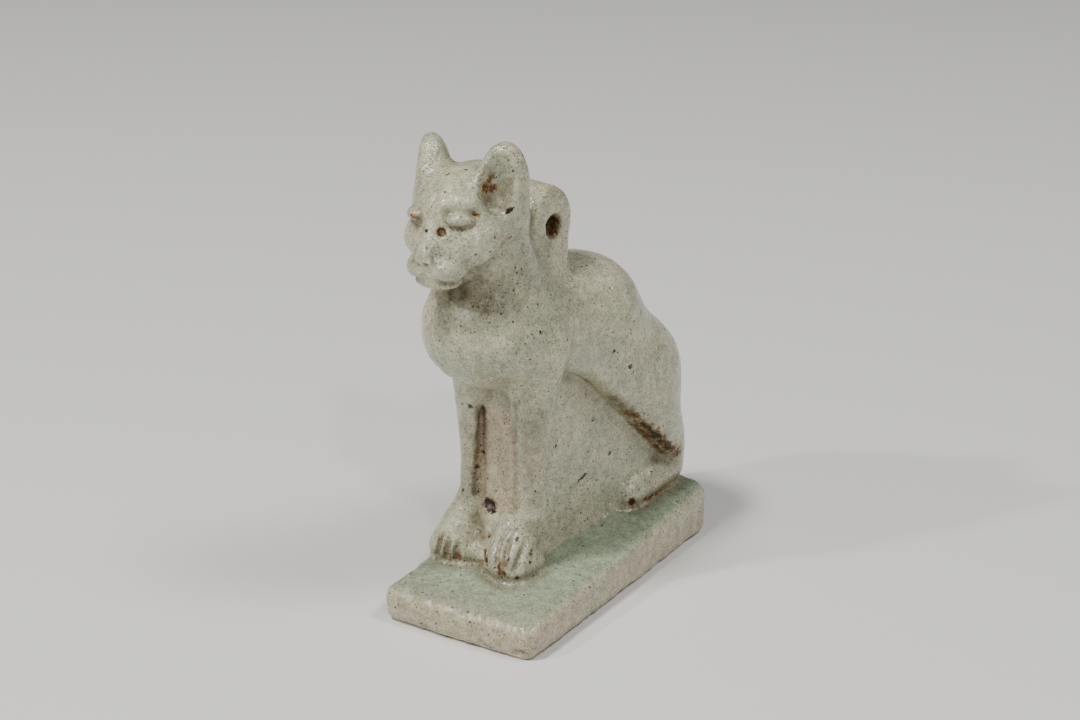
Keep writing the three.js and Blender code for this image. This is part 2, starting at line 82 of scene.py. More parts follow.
def ease(low: float, high: float, value: Array) -> Array:
    """Smooth step of value from 0 at low to 1 at high."""
    t = np.clip((value - low) / (high - low), 0.0, 1.0)
    return t * t * (3.0 - 2.0 * t)


def mirrored(p: Array, softness: float = 0.0, shift: float = 0.0) -> Array:
    """Points folded over to the left side, softly and at shift millimetres from the middle."""
    x = p[0] + shift
    return np.stack([np.sqrt(x * x + softness * softness), p[1], p[2]])


def turned(about_z: float, about_y: float = 0.0) -> Array:
    """Rotation matrix of a turn about Z after one about Y, both in degrees."""
    a, b = math.radians(about_z), math.radians(about_y)
    turn = [[math.cos(a), -math.sin(a), 0], [math.sin(a), math.cos(a), 0], [0, 0, 1]]
    lean = [[math.cos(b), 0, math.sin(b)], [0, 1, 0], [-math.sin(b), 0, math.cos(b)]]
    return (np.array(turn) @ np.array(lean)).astype(np.float32)


class Form(ABC):
    """A shape that knows how far a point is from its surface."""

    @abstractmethod
    def distance(self, p: Array) -> Array:
        """Distance from each point to the surface, negative inside."""


@dataclass(frozen=True)
class Ball(Form):
    """A ball with three radii, turned about Z and leaned about Y."""

    centre: Triple
    radii: Triple
    turn: float = 0.0
    lean: float = 0.0

    def distance(self, p: Array) -> Array:
        """Distance from each point to the ball."""
        local = p - np.array(self.centre, np.float32)[:, None]
        if self.turn or self.lean:
            local = turned(self.turn, self.lean).T @ local
        radii = np.array(self.radii, np.float32)[:, None]
        scaled = local / radii
        reach = np.sqrt((scaled * scaled).sum(0))
        slope = np.sqrt(((scaled / radii) ** 2).sum(0))
        return reach * (reach - 1.0) / np.maximum(slope, TINY)


@dataclass(frozen=True)
class Rod(Form):
    """A round rod between two points, with a radius at each end."""

    start: Triple
    end: Triple
    start_radius: float
    end_radius: float
    taper: float = 1.0

    def distance(self, p: Array) -> Array:
        """Distance from each point to the rod."""
        start = np.array(self.start, np.float32)
        way = np.array(self.end, np.float32) - start
        local = p - start[:, None]
        along = np.clip((way @ local) / float(way @ way), 0.0, 1.0)
        off = local - way[:, None] * along
        left = (1.0 - along) ** self.taper if self.taper != 1.0 else 1.0 - along
        radius = self.end_radius + (self.start_radius - self.end_radius) * left
        return np.sqrt((off * off).sum(0)) - radius


@dataclass(frozen=True)
class Pad(Form):
    """A block with rounded edges."""

    centre: Triple
    halves: Triple
    rounding: float

    def distance(self, p: Array) -> Array:
        """Distance from each point to the block."""
        local = np.abs(p - np.array(self.centre, np.float32)[:, None])
        over = local - (np.array(self.halves, np.float32) - self.rounding)[:, None]
        outside = np.sqrt((np.maximum(over, 0.0) ** 2).sum(0))
        return outside + np.minimum(over.max(0), 0.0) - self.rounding


@dataclass(frozen=True)
class Touch:
    """A form and the width in millimetres of the rounding where it meets the rest."""

    form: Form
    rounding: float

    def joined(self, d: Array, p: Array) -> Array:
        """The field with the form joined to it."""
        return join(d, self.form.distance(p), self.rounding)

    def carved(self, d: Array, p: Array) -> Array:
        """The field with the form cut from it."""
        return cut(d, self.form.distance(p), self.rounding)


# The sculpture


@dataclass(frozen=True)
class Head:
    """The cat's head, in millimetres above the paws, leaning a little to its right."""

    pivot: Triple = (-0.05, -8.0, 24.0)
    lean: float = -4.0
    jaw_plane: float = 33.65
    jaw_rounding: float = 0.6
    ear_rounding: float = 1.0
    hollow_rounding: float = 0.8
    skull: Form = Ball((0, -7.0, 26.8), (3.55, 3.5, 2.95))
    face: Touch = Touch(Rod((0, -8.4, 26.2), (0, -10.5, 24.4), 3.05, 1.9), 1.2)
    cheek: Touch = Touch(Ball((2.2, -9.2, 25.2), (1.35, 1.8, 1.5)), 1.0)
    lip: Touch = Touch(Ball((0.85, -10.95, 23.85), (1.4, 1.5, 0.98)), 0.4)
    nose: Touch = Touch(Ball((0, -12.1, 24.55), (0.75, 0.45, 0.42)), 0.35)
    bridge: Touch = Touch(Rod((0, -9.6, 27.9), (0, -11.9, 25.0), 0.8, 0.6), 0.8)
    mouth: Touch = Touch(Rod((0.5, -12.4, 23.25), (2.15, -11.2, 22.95), 0.06, 0.06), 0.3)
    chin: Touch = Touch(Ball((0, -10.3, 22.87), (2.25, 1.75, 0.75)), 0.35)
    socket: Touch = Touch(Rod((1.0, -11.7, 26.7), (2.75, -10.45, 27.5), 0.5, 0.42), 0.5)
    brow: Touch = Touch(Rod((0.6, -10.65, 27.85), (2.2, -9.85, 28.1), 0.2, 0.14), 1.1)
    eye: Touch = Touch(Ball((1.87, -10.62, 27.14), (0.9, 0.56, 0.42), 38.0), 0.25)
    inner_pit: Touch = Touch(Ball((0.85, -11.5, 26.35), (0.26, 0.4, 0.24)), 0.15)
    outer_pit: Touch = Touch(Ball((2.75, -10.3, 27.42), (0.3, 0.35, 0.18)), 0.15)
    lip_split: Touch = Touch(Rod((0, -12.65, 24.2), (0, -12.5, 23.4), 0.1, 0.12), 0.2)
    philtrum: Touch = Touch(Ball((0, -12.75, 23.75), (0.5, 0.42, 0.45)), 0.2)
    nose_edge: Touch = Touch(Rod((0, -12.8, 24.12), (0.75, -12.6, 24.15), 0.2, 0.16), 0.12)
    nose_side: Touch = Touch(Ball((0.98, -12.15, 25.3), (0.36, 0.4, 0.8)), 0.4)
    nostril: Touch = Touch(Ball((0.36, -12.5, 24.4), (0.14, 0.2, 0.09)), 0.1)
    nape: Touch = Touch(Ball((0, -5.7, 26.0), (3.0, 2.7, 3.3)), 1.2)
    left_ear: Form = Ball((2.75, -7.2, 28.2), (1.8, 1.25, 3.4), 38.0, 8.0)
    left_hollow: Form = Ball((3.05, -8.2, 28.9), (0.8, 0.65, 1.8), 38.0, 8.0)
    right_ear: Form = Ball((3.1, -7.35, 28.2), (1.9, 1.4, 3.4), 62.0, 13.0)
    right_hollow: Form = Ball((4.1, -7.9, 28.9), (0.8, 0.65, 1.8), 62.0, 13.0)

    def upright(self, p: Array) -> Array:
        """Points moved into the frame in which the head doesn't lean."""
        pivot = np.array([self.pivot[0], 0.0, self.pivot[2]], np.float32)[:, None]
        local = turned(0.0, self.lean).T @ (p - pivot)
        local[2] += self.pivot[2]
        return local

    def features(self, p: Array, side: Array) -> Array:
        """Distance to the skull with the muzzle, mouth and eyes carved on it."""
        d = self.face.joined(self.skull.distance(p), p)
        for form in (self.cheek, self.lip):
            d = form.joined(d, side)
        for form in (self.nose, self.bridge, self.chin):
            d = form.joined(d, p)
        d = self.mouth.carved(d, side)
        for form in (self.lip_split, self.philtrum):
            d = form.carved(d, p)
        for form in (self.nose_edge, self.nose_side, self.nostril, self.socket):
            d = form.carved(d, side)
        for form in (self.brow, self.eye):
            d = form.joined(d, side)
        for form in (self.inner_pit, self.outer_pit):
            d = form.carved(d, side)
        return d

    def distance(self, point: Array) -> Array:
        """Distance to the head."""
        p = self.upright(point)
        side = mirrored(p)
        behind_jaw = (p[1] - p[2] + self.jaw_plane) * DIAGONAL
        d = both(self.features(p, side), behind_jaw, self.jaw_rounding)
        d = self.nape.joined(d, p)
        right = p[0] < 0
        ear = np.where(right, self.right_ear.distance(side), self.left_ear.distance(side))
        hollow = np.where(right, self.right_hollow.distance(side), self.left_hollow.distance(side))
        return cut(join(d, ear, self.ear_rounding), hollow, self.hollow_rounding)


@dataclass(frozen=True)
class Web:
    """The wall of faience that fills the space under the belly and between the forelegs."""

    front: float = -5.0
    rear: float = 12.0
    rear_lean: float = 0.55
    heel_level: float = 4.0
    top: float = 14.5
    side: float = 2.5
    spread: float = 0.8
    spread_end: float = 9.0
    side_rounding: float = 0.8
    top_rounding: float = 1.0

    def half_width(self, p: Array) -> Array:
        """Half of its width at each point."""
        return self.side + self.spread * ease(0.0, self.spread_end, p[1])

    def distance(self, p: Array) -> Array:
        """Distance to the web."""
        rear = self.rear - self.rear_lean * np.maximum(p[2] - self.heel_level, 0.0)
        ends = np.maximum(self.front - p[1], p[1] - rear)
        walls = both(np.abs(p[0]) - self.half_width(p), ends, self.side_rounding)
        return both(walls, p[2] - self.top, self.top_rounding)


@dataclass(frozen=True)
class Body:
    """Neck, chest, back and haunches, undercut above the web."""

    web: Web
    spine_softness: float = 0.7
    crease_plane: float = 13.93
    belly_level: float = 13.9
    belly_slope: float = 0.2
    belly_rounding: float = 1.5
    web_rounding: float = 0.3
    crease_rounding: float = 0.8
    neck: Form = Rod((0, -6.2, 25.2), (0, -4.6, 18.5), 2.7, 3.7)
    chest: Touch = Touch(Ball((0.6, -6.3, 18.0), (3.85, 3.9, 3.9)), 2.0)
    back: Touch = Touch(Rod((0.4, -2.5, 17.2), (0.4, 4.2, 16.2), 3.6, 4.1), 2.5)
    loin: Touch = Touch(Rod((0.4, 4.2, 16.2), (0.8, 8.6, 10.6), 4.1, 4.15), 1.2)
    rump: Touch = Touch(Rod((0.8, 8.6, 10.6), (1.2, 9.7, 4.6), 4.15, 4.0), 1.5)
    flank: Touch = Touch(Rod((1.0, -1.0, 15.0), (1.4, 8.6, 7.6), 3.2, 3.4), 1.0)

    def distance(self, p: Array) -> Array:
        """Distance to the body."""
        side = mirrored(p, self.spine_softness)
        d = self.neck.distance(p)
        for form in (self.chest, self.back, self.loin, self.rump, self.flank):
            d = form.joined(d, side)
        below_flank = (p[1] + p[2] - self.crease_plane) * DIAGONAL
        below_belly = p[2] - self.belly_level + self.belly_slope * p[1]
        under = both(below_flank, below_belly, self.belly_rounding)
        outside = self.web.half_width(p) - np.abs(p[0])
        return cut(d, both(under, outside, self.web_rounding), self.crease_rounding)


@dataclass(frozen=True)
class Legs:
    """Forelegs, paws and hind feet."""

    paw_shift: float = 0.3
    leg_shift: float = -0.4
    toe_rounding: float = 0.22
    panel_rounding: float = 0.55
    toe_start: float = 0.08
    toe_depth: float = 0.18
    foreleg: Form = Rod((2.3, -4.4, 16.5), (2.65, -4.9, 4.5), 2.6, 0.95, 2.2)
    forepaw: Touch = Touch(Rod((2.1, -4.9, 3.4), (2.5, -6.4, 1.2), 1.4, 1.7), 0.8)
    sole: Touch = Touch(Pad((2.45, -5.8, 0.4), (1.75, 1.75, 1.2), 0.8), 0.6)
    between: Touch = Touch(Rod((-0.2, -4.6, 3.0), (-0.3, -6.0, 0.9), 1.2, 0.9), 0.7)
    hind_foot: Touch = Touch(Rod((2.95, 6.5, 1.75), (2.9, 11.0, 2.6), 1.35, 1.7), 0.5)
    toes: tuple[tuple[Triple, Triple, Triple], ...] = (
        ((2.17, -6.32, 3.85), (1.91, -7.13, 2.93), (2.24, -8.01, 1.75)),
        ((2.65, -6.26, 3.66), (2.55, -7.04, 2.93), (2.88, -7.92, 1.53)),
        ((3.35, -6.04, 2.93), (3.46, -6.75, 2.32), (3.5, -7.6, 1.28)),
        ((1.2, -7.01, 2.67), (0.99, -7.32, 1.95), (1.19, -7.8, 1.27)),
        ((-2.89, -7.66, 2.32), (-2.94, -8.06, 1.52), (-3.16, -7.94, 0.46)),
        ((-2.22, -7.59, 2.26), (-2.2, -7.97, 1.48), (-2.35, -7.92, 0.47)),
        ((-1.66, -7.39, 1.96), (-1.6, -7.7, 1.24), (-1.56, -7.65, 0.6)),
    )
    panel_grooves: tuple[Form, ...] = (
        Rod((-1.1, -5.18, 13.2), (-1.5, -5.25, 5.0), 0.14, 0.3),
        Rod((1.95, -5.3, 13.4), (1.85, -5.3, 4.6), 0.2, 0.24),
    )

    def toe_lines(self) -> Iterator[Rod]:
        """Grooves between the toes, each in two lengths."""
        for top, middle, tip in self.toes:
            yield Rod(top, middle, self.toe_start, self.toe_depth)
            yield Rod(middle, tip, self.toe_depth, self.toe_depth)

    def distance(self, p: Array) -> Array:
        """Distance to the legs."""
        paw = mirrored(p, 0.0, self.paw_shift)
        leg = mirrored(p, 0.0, self.leg_shift)
        d = self.forepaw.joined(self.foreleg.distance(leg), paw)
        d = self.between.joined(self.sole.joined(d, paw), p)
        for line in self.toe_lines():
            d = cut(d, line.distance(p), self.toe_rounding)
        return self.hind_foot.joined(d, mirrored(p))


@dataclass(frozen=True)
class Loop:
    """The pierced loop behind the neck."""

    spot: Triple = (-0.25, -0.25, 24.0)
    bore: float = 1.7
    wall: float = 1.65
    crown: float = 1.95
    width: float = 3.2
    rounding: float = 1.0
    fillet: float = 1.0
    flare: float = 0.03
    flare_band: Band = (0.8, 1.7)
    stem: Form = Ball((-0.25, -0.15, 20.5), (2.1, 2.45, 3.0))

    def distance(self, p: Array) -> Array:
        """Distance to the loop, not yet pierced."""
        across = np.abs(p[0] - self.spot[0]) - self.width / 2
        half_depth = self.bore / 2 + self.wall
        half_height = self.bore / 2 + self.crown
        deep = (p[1] - self.spot[1]) / half_depth
        up = (p[2] - self.spot[2]) / half_height
        ring = (np.hypot(deep, up) - 1.0) * (half_depth + half_height) / 2
        disc = both(ring, across, self.rounding)
        return join(disc, self.stem.distance(p), self.fillet)

    def bore_distance(self, p: Array) -> Array:
        """Distance to the bore's axis less its radius, a little wider at its mouths."""
        flare = self.flare * ease(*self.flare_band, np.abs(p[0] - self.spot[0]))
        return np.hypot(p[1] - self.spot[1], p[2] - self.spot[2]) - self.bore / 2 - flare


@dataclass(frozen=True)
class Plinth:
    """The slab under the cat, thicker at the rear, with worn lower edges."""

    length: float = 25.4
    width: float = 12.5
    front: float = 2.5
    rear: float = 4.0
    front_corner: float = 1.1
    rear_corner: float = 1.6
    edge: float = 1.0
    worn_inset: float = 0.5
    worn_height: float = 0.8
    fillet: float = 1.3
    foot_fillet: float = 0.4

    def distance(self, p: Array) -> Array:
        """Distance to the slab."""
        worn = np.maximum(self.worn_height - p[2], 0.0) / self.worn_height
        rounding = np.where(p[1] < 0, self.front_corner, self.rear_corner).astype(np.float32)
        over_x = np.abs(p[0]) - (self.width / 2 - rounding)
        over_y = np.abs(p[1]) - (self.length / 2 - rounding)
        corner = np.hypot(np.maximum(over_x, 0.0), np.maximum(over_y, 0.0))
        wall = corner + np.minimum(np.maximum(over_x, over_y), 0.0) - rounding
        wall = wall + self.worn_inset * worn * worn
        thickness = self.front + (self.rear - self.front) * (p[1] / self.length + 0.5)
        over_wall = wall + self.edge
        over_top = p[2] - thickness + self.edge
        edge = np.hypot(np.maximum(over_wall, 0.0), np.maximum(over_top, 0.0))
        return edge + np.minimum(np.maximum(over_wall, over_top), 0.0) - self.edge


@dataclass(frozen=True)
class Amulet:
    """The whole sculpture in the row frame, in millimetres."""

    height: float = 32.0
    aside: float = -1.05
    turn: float = -5.0
    paw_step: float = 0.1
    head_rounding: float = 0.6
    leg_rounding: float = 0.8
    bore_rounding: float = 0.15
    web: Web = Web()
    head: Head = Head()
    legs: Legs = Legs()
    loop: Loop = Loop()
    plinth: Plinth = Plinth()

    @property
    def base(self) -> float:
        """Height of the paws' soles above the ground."""
        return self.plinth.front + self.paw_step

    def in_figure(self, p: Array) -> Array:
        """Row-frame points moved into the cat's own frame."""
        offset = np.array([self.aside, 0.0, self.base], np.float32)[:, None]
        return turned(self.turn).T @ (p - offset)

    def in_row(self, p: Array) -> Array:
        """Points of the cat's own frame moved into the row frame."""
        offset = np.array([self.aside, 0.0, self.base], np.float32)[:, None]
        return turned(self.turn) @ p + offset

    def distance(self, p: Array) -> Array:
        """Distance from row-frame points to the amulet's surface."""
        local = self.in_figure(p)
        cat = join(Body(self.web).distance(local), self.head.distance(local), self.head_rounding)
        cat = join(cat, self.legs.distance(local), self.leg_rounding)
        cat = join(cat, self.loop.distance(local), self.loop.fillet)
        cat = cut(cat, self.loop.bore_distance(local), self.bore_rounding)
        stand = join(self.web.distance(local), self.plinth.distance(p), self.plinth.fillet)
        whole = join(cat, stand, self.plinth.foot_fillet)
        for groove in self.legs.panel_grooves:
            whole = cut(whole, groove.distance(local), self.legs.panel_rounding)
        return np.maximum(whole, -p[2])


# Noise

PRIMES = (374761393, 668265263, 1440662683, 974634777)
SCRAMBLE = (1274126177, 2246822519)
WORD = 0xFFFFFFFF
HALF_WORD = 0xFFFF
LATTICE_START = 1000.0


@dataclass(frozen=True)
class Noise:
    """Smooth seeded noise over space."""

    size: float
    seed: int
    octaves: int = 1

    def lattice(self, x: Array, y: Array, z: Array, seed: int) -> Array:
        """Random value from -1 to 1 for each point of a lattice."""
        h = (x * PRIMES[0] + y * PRIMES[1] + z * PRIMES[2] + seed * PRIMES[3]) & WORD
        h = (h ^ (h >> 13)) * SCRAMBLE[0] & WORD
        h = (h ^ (h >> 16)) * SCRAMBLE[1] & WORD
        return ((h ^ (h >> 13)) & HALF_WORD).astype(np.float32) / (HALF_WORD / 2) - 1.0

    def layer(self, p: Array, size: float, seed: int) -> Array:
        """One octave of noise at each point."""
        scaled = p.astype(np.float64) / size + LATTICE_START
        cell = np.floor(scaled).astype(np.int64)
        t = (scaled - cell).astype(np.float32)
        t = t * t * (3.0 - 2.0 * t)
        total = np.zeros(p.shape[1], np.float32)
        for corner in range(8):
            i, j, k = corner & 1, (corner >> 1) & 1, corner >> 2
            weight = np.abs(1 - i - t[0]) * np.abs(1 - j - t[1]) * np.abs(1 - k - t[2])
            total += weight * self.lattice(cell[0] + i, cell[1] + j, cell[2] + k, seed)
        return total

    def at(self, p: Array) -> Array:
        """Noise at each point, from about -1 to 1."""
        total = np.zeros(p.shape[1], np.float32)
        for octave in range(self.octaves):
            total += self.layer(p, self.size / 2**octave, self.seed + octave) / 2**octave
        return total


# Meshing


@dataclass(frozen=True)
class Grid:
    """Grid lines in millimetres, closer together around the head."""

    low: Triple = (-7.3, -13.5, -0.6)
    high: Triple = (6.9, 14.5, 35.2)
    coarse: float = 0.2
    across: float = 0.17
    fine: float = 0.14
    head_level: float = 24.5
    nape_line: float = -3.0
    layers: int = 12

    def lines(self) -> list[Array]:
        """Coordinates of the grid's planes for each axis."""
        x = np.arange(self.low[0], self.high[0], self.across)
        front = np.arange(self.low[1], self.nape_line, self.across)
        y = np.concatenate([front, np.arange(front[-1] + self.coarse, self.high[1], self.coarse)])
        ground = np.arange(self.low[2], self.head_level, self.coarse)
        z = np.concatenate([ground, np.arange(ground[-1] + self.fine, self.high[2], self.fine)])
        return [line.astype(np.float32) for line in (x, y, z)]

    def sample(self, form: Amulet) -> tuple[Array, list[Array]]:
        """Distances at all grid points, and the grid lines."""
        lines = self.lines()
        values = np.empty([len(line) for line in lines], np.float32)
        for start in range(0, len(lines[2]), self.layers):
            some = lines[2][start : start + self.layers]
            block = np.meshgrid(lines[0], lines[1], some, indexing="ij")
            points = np.stack([axis.ravel() for axis in block])
            values[:, :, start : start + self.layers] = form.distance(points).reshape(block[0].shape)
        return values, lines


class SurfaceNet:
    """A closed mesh of quads around the inside of a sampled field."""

    def __init__(self, values: Array, lines: list[Array]) -> None:
        """Finds the crossings and the quads between them.

        Args:
            values: Distances at the grid points.
            lines: Coordinates of the grid's planes for each axis.
        """
        self.values = values
        self.lines = lines
        self.shape = [n - 1 for n in values.shape]
        total = int(np.prod(self.shape))
        self.sums = np.zeros((3, total))
        self.counts = np.zeros(total)
        quads = [self.cross(axis) for axis in range(3)]
        used = np.flatnonzero(self.counts)
        number = np.zeros(total, np.int64)
        number[used] = np.arange(len(used))
        self.points = (self.sums[:, used] / self.counts[used]).astype(np.float32)
        self.quads = number[np.concatenate(quads)]

    def cells(self, spots: Array, axis: int) -> list[Array]:
        """Flat numbers of the four cells around each grid edge, in turning order."""
        u, v = (axis + 1) % 3, (axis + 2) % 3
        found = []
        for du, dv in ((0, 0), (1, 0), (1, 1), (0, 1)):
            near = spots.copy()
            near[:, u] -= du
            near[:, v] -= dv
            found.append(np.ravel_multi_index(tuple(near.T), self.shape))
        return found

    def cross(self, axis: int) -> Array:
        """Adds the crossings along one axis and returns their quads."""
        size = self.values.shape[axis]
        low = np.take(self.values, np.arange(size - 1), axis)
        high = np.take(self.values, np.arange(1, size), axis)
        spots = np.argwhere((low < 0) != (high < 0))
        here = low[tuple(spots.T)]
        there = high[tuple(spots.T)]
        place = np.stack([self.lines[n][spots[:, n]] for n in range(3)]).astype(np.float64)
        step = self.lines[axis][spots[:, axis] + 1] - place[axis]
        place[axis] += here / (here - there) * step
        around = self.cells(spots, axis)
        for cell in around:
            self.counts += np.bincount(cell, minlength=len(self.counts))
            for n in range(3):
                self.sums[n] += np.bincount(cell, place[n], len(self.counts))
        quads = np.stack(around, 1)
        return np.where((here < 0)[:, None], quads, quads[:, ::-1])


class SpotTone(Enum):
    """What a stain is made of; the dust tone also paints shade."""

    RUST = "rust"
    SOOT = "soot"
    # Dust spots also paint shade under the chin, on the neck and on the legs.
    DUST_AND_SHADE = "dust_and_shade"


@dataclass(frozen=True)
class Spot:
    """A stained or painted-shade place in the cat's frame: start, reach, tone, strength, depth and other
    end.
    """

    place: Triple
    reach: float
    tone: SpotTone
    strength: float = 1.0
    depth: float = 0.0
    end: Triple | None = None
    core: float = 0.15

    def near(self, local: Array) -> Array:
        """1 along its middle, falling to 0 at its reach."""
        off = local - np.array(self.place, np.float32)[:, None]
        if self.end is not None:
            way = np.subtract(self.end, self.place).astype(np.float32)[:, None]
            off = off - way * np.clip((off * way).sum(0) / (way * way).sum(), 0.0, 1.0)
        return ease(1.0, self.core, np.sqrt((off * off).sum(0)) / self.reach)


@dataclass(frozen=True)
class Weathering:
    """Wear, stains and painted shade of the glaze, worked out at each vertex."""

    swell: Noise = Noise(2.6, 11, 2)
    ripple: Noise = Noise(0.75, 23, 2)
    pit: Noise = Noise(0.55, 37)
    chip: Noise = Noise(1.3, 41, 3)
    patch: Noise = Noise(4.5, 53, 3)
    streak: Noise = Noise(0.5, 67, 2)
    swell_depth: float = 0.05
    ripple_depth: float = 0.03
    pit_depth: float = 0.06
    streak_depth: float = 0.035
    chip_depth: float = 0.5
    pit_band: Band = (0.55, 0.9)
    chip_band: Band = (0.1, 0.9)
    chip_ceiling: Band = (1.5, 0.3)
    chip_ground: Band = (0.2, 0.5)
    chip_front: Band = (-10.5, -12.2)
    chip_elsewhere: float = 0.25
    streak_drop: float = 0.5
    streak_squash: float = 0.2
    spots: tuple[Spot, ...] = ()

    def depth(self, p: Array, form: Amulet) -> Array:
        """How far each vertex lies under the smooth surface, in millimetres."""
        uneven = self.swell_depth * self.swell.at(p) + self.ripple_depth * self.ripple.at(p)
        pits = self.pit_depth * ease(*self.pit_band, self.pit.at(p))
        low = ease(*self.chip_ceiling, p[2]) * ease(*self.chip_ground, np.maximum(p[2], 0.0))
        share = self.chip_elsewhere + ease(*self.chip_front, p[1])
        chips = self.chip_depth * low * share * ease(*self.chip_band, self.chip.at(p))
        wall = ease(form.plinth.rear, form.plinth.front - self.streak_drop, p[2])
        drawn = p * np.array([[1.0], [1.0], [self.streak_squash]], np.float32)
        streaks = self.streak_depth * wall * self.streak.at(drawn)
        local = form.in_figure(p)
        holes = sum(spot.depth * spot.near(local) for spot in self.spots if spot.depth)
        return uneven + pits + chips + streaks + holes

    def stains_and_shade(self, local: Array, tone: SpotTone) -> Array:
        """Strength of the stains of one tone at points of the cat's frame; the dust tone includes painted
        shade.
        """
        total = np.zeros(local.shape[1], np.float32)
        for spot in self.spots:
            if spot.tone is tone:
                total = np.maximum(total, spot.strength * spot.near(local))
        return total


@dataclass(frozen=True)
class Tinting:
    """Where the vertex layers are strong: bands and levels in millimetres, and shares."""

    shallow: float = 0.35
    deep: float = 1.3
    crack_band: Band = (0.12, 0.6)
    hollow_band: Band = (0.1, 0.8)
    crack_rust: float = 0.3
    # Shares of dust and painted shade in cracks and deep hollows.
    crack_dust_and_shade: float = 0.8
    hollow_dust_and_shade: float = 0.6
    panel_half: float = 1.6
    panel_edge: Band = (-0.2, 0.2)
    panel_front: Band = (-5.6, -5.0)
    panel_rear: Band = (-4.0, -4.6)
    panel_top: Band = (12.5, 11.0)
    wall_rise: float = 0.6
    wall_fade: float = 1.2
    wall_pink: float = 0.6
    flat_band: Band = (0.7, 0.95)
    flat_level: Band = (5.5, 4.6)
    chest_level: float = 15.0
    chest_band: Band = (4.0, 1.0)
    chest_front: Band = (-6.0, -9.0)
    chest_green: float = 0.7
    patch_green: float = 0.35

    def panel(self, local: Array) -> Array:
        """1 on the panel between the forelegs."""
        share = ease(*self.panel_edge, self.panel_half - np.abs(local[0]))
        share = share * ease(*self.panel_front, local[1]) * ease(*self.panel_rear, local[1])
        return share * ease(*self.panel_top, local[2])

    def chest(self, local: Array) -> Array:
        """1 on the lower chest."""
        share = ease(*self.chest_band, np.abs(local[2] - self.chest_level))
        return share * ease(*self.chest_front, local[1])


class Carving:
    """The amulet's fine mesh with its vertex layers."""

    step = 0.04
    rounds = 2
    longest_move = 0.06
    dry_rise = 0.25

    def __init__(self, form: Amulet, grid: Grid, wear: Weathering, tint: Tinting) -> None:
        """Meshes the form and wears it.

        Args:
            form: The sculpture.
            grid: The grid on which it is meshed.
            wear: The wear and stains of its surface.
            tint: Where its vertex layers are strong.
        """
        self.form = form
        self.wear = wear
        self.tint = tint
        net = SurfaceNet(*grid.sample(form))
        self.quads = net.quads
        self.points = self.settled(net.points)
        self.normals = self.slopes(self.points)
        self.layers = self.painted()
        self.weather()

    def slopes(self, p: Array) -> Array:
        """Outward unit normals of the field at each point."""
        slope = np.empty_like(p)
        for n in range(3):
            step = np.zeros((3, 1), np.float32)
            step[n] = self.step
            slope[n] = self.form.distance(p + step) - self.form.distance(p - step)
        return slope / np.maximum(np.sqrt((slope * slope).sum(0)), TINY)

    def settled(self, p: Array) -> Array:
        """Points moved onto the field's surface."""
        for _ in range(self.rounds):
            off = np.clip(self.form.distance(p), -self.longest_move, self.longest_move)
            p = p - self.slopes(p) * off
            p[2] = np.maximum(p[2], 0.0)
        return p

    def hollow(self, reach: float) -> Array:
        """How much the surface around each vertex closes in within reach, from 0 to 1."""
        open_way = self.form.distance(self.points + self.normals * reach) / reach
        return np.clip(1.0 - open_way, 0.0, 1.0)

    def painted(self) -> dict[str, Array]:
        """Vertex layers for the material, from 0 to 1; the dust layer is dust and painted shade, darker in
        cracks and hollows.
        """
        local = self.form.in_figure(self.points)
        wear, tint = self.wear, self.tint
        cracks = ease(*tint.crack_band, self.hollow(tint.shallow))
        hollows = ease(*tint.hollow_band, self.hollow(tint.deep))
        # Darkening in cracks and deep hollows is painted shade, partly dust as well.
        dirt_and_shade = np.maximum(tint.hollow_dust_and_shade * hollows, tint.crack_dust_and_shade * cracks)
        rust = np.maximum(wear.stains_and_shade(local, SpotTone.RUST), cracks * tint.crack_rust)
        top = self.form.plinth.front + tint.wall_rise
        wall = ease(top, top - tint.wall_fade, self.points[2])
        flat = ease(*tint.flat_band, self.normals[2]) * ease(*tint.flat_level, self.points[2])
        green = flat + tint.chest_green * tint.chest(local)
        green = green + tint.patch_green * wear.patch.at(self.points)
        return {
            "rust": np.clip(rust, 0.0, 1.0),
            "soot": np.clip(wear.stains_and_shade(local, SpotTone.SOOT), 0.0, 1.0),
            "dust_and_shade": np.maximum(dirt_and_shade, wear.stains_and_shade(local, SpotTone.DUST_AND_SHADE)),
            "pink": np.clip(tint.panel(local) + tint.wall_pink * wall, 0.0, 1.0),
            "green": np.clip(green, 0.0, 1.0),
        }

    def weather(self) -> None:
        """Sinks the vertices by the depth of the wear."""
        keep = ease(0.0, self.dry_rise, self.points[2])
        depth = self.wear.depth(self.points, self.form) * keep
        self.points = self.points - self.normals * depth
        self.points[2] = np.maximum(self.points[2], 0.0)

    def build(self, name: str) -> bpy.types.Object:
        """Makes the Blender object, in metres, with its vertex layers."""
        mesh = bpy.data.meshes.new(name)
        mesh.vertices.add(self.points.shape[1])
        mesh.vertices.foreach_set("co", (self.points.T * MM).astype(np.float32).ravel())
        mesh.loops.add(self.quads.size)
        mesh.loops.foreach_set("vertex_index", self.quads.astype(np.int32).ravel())
        mesh.polygons.add(len(self.quads))
        mesh.polygons.foreach_set("loop_start", np.arange(0, self.quads.size, 4, dtype=np.int32))
        mesh.update(calc_edges=True)
        mesh.validate()
        mesh.shade_smooth()
        for layer, values in self.layers.items():
            data = mesh.attributes.new(layer, "FLOAT", "POINT").data
            data.foreach_set("value", values.astype(np.float32))
        piece = bpy.data.objects.new(name, mesh)
        bpy.context.scene.collection.objects.link(piece)
        return piece


# Finishes


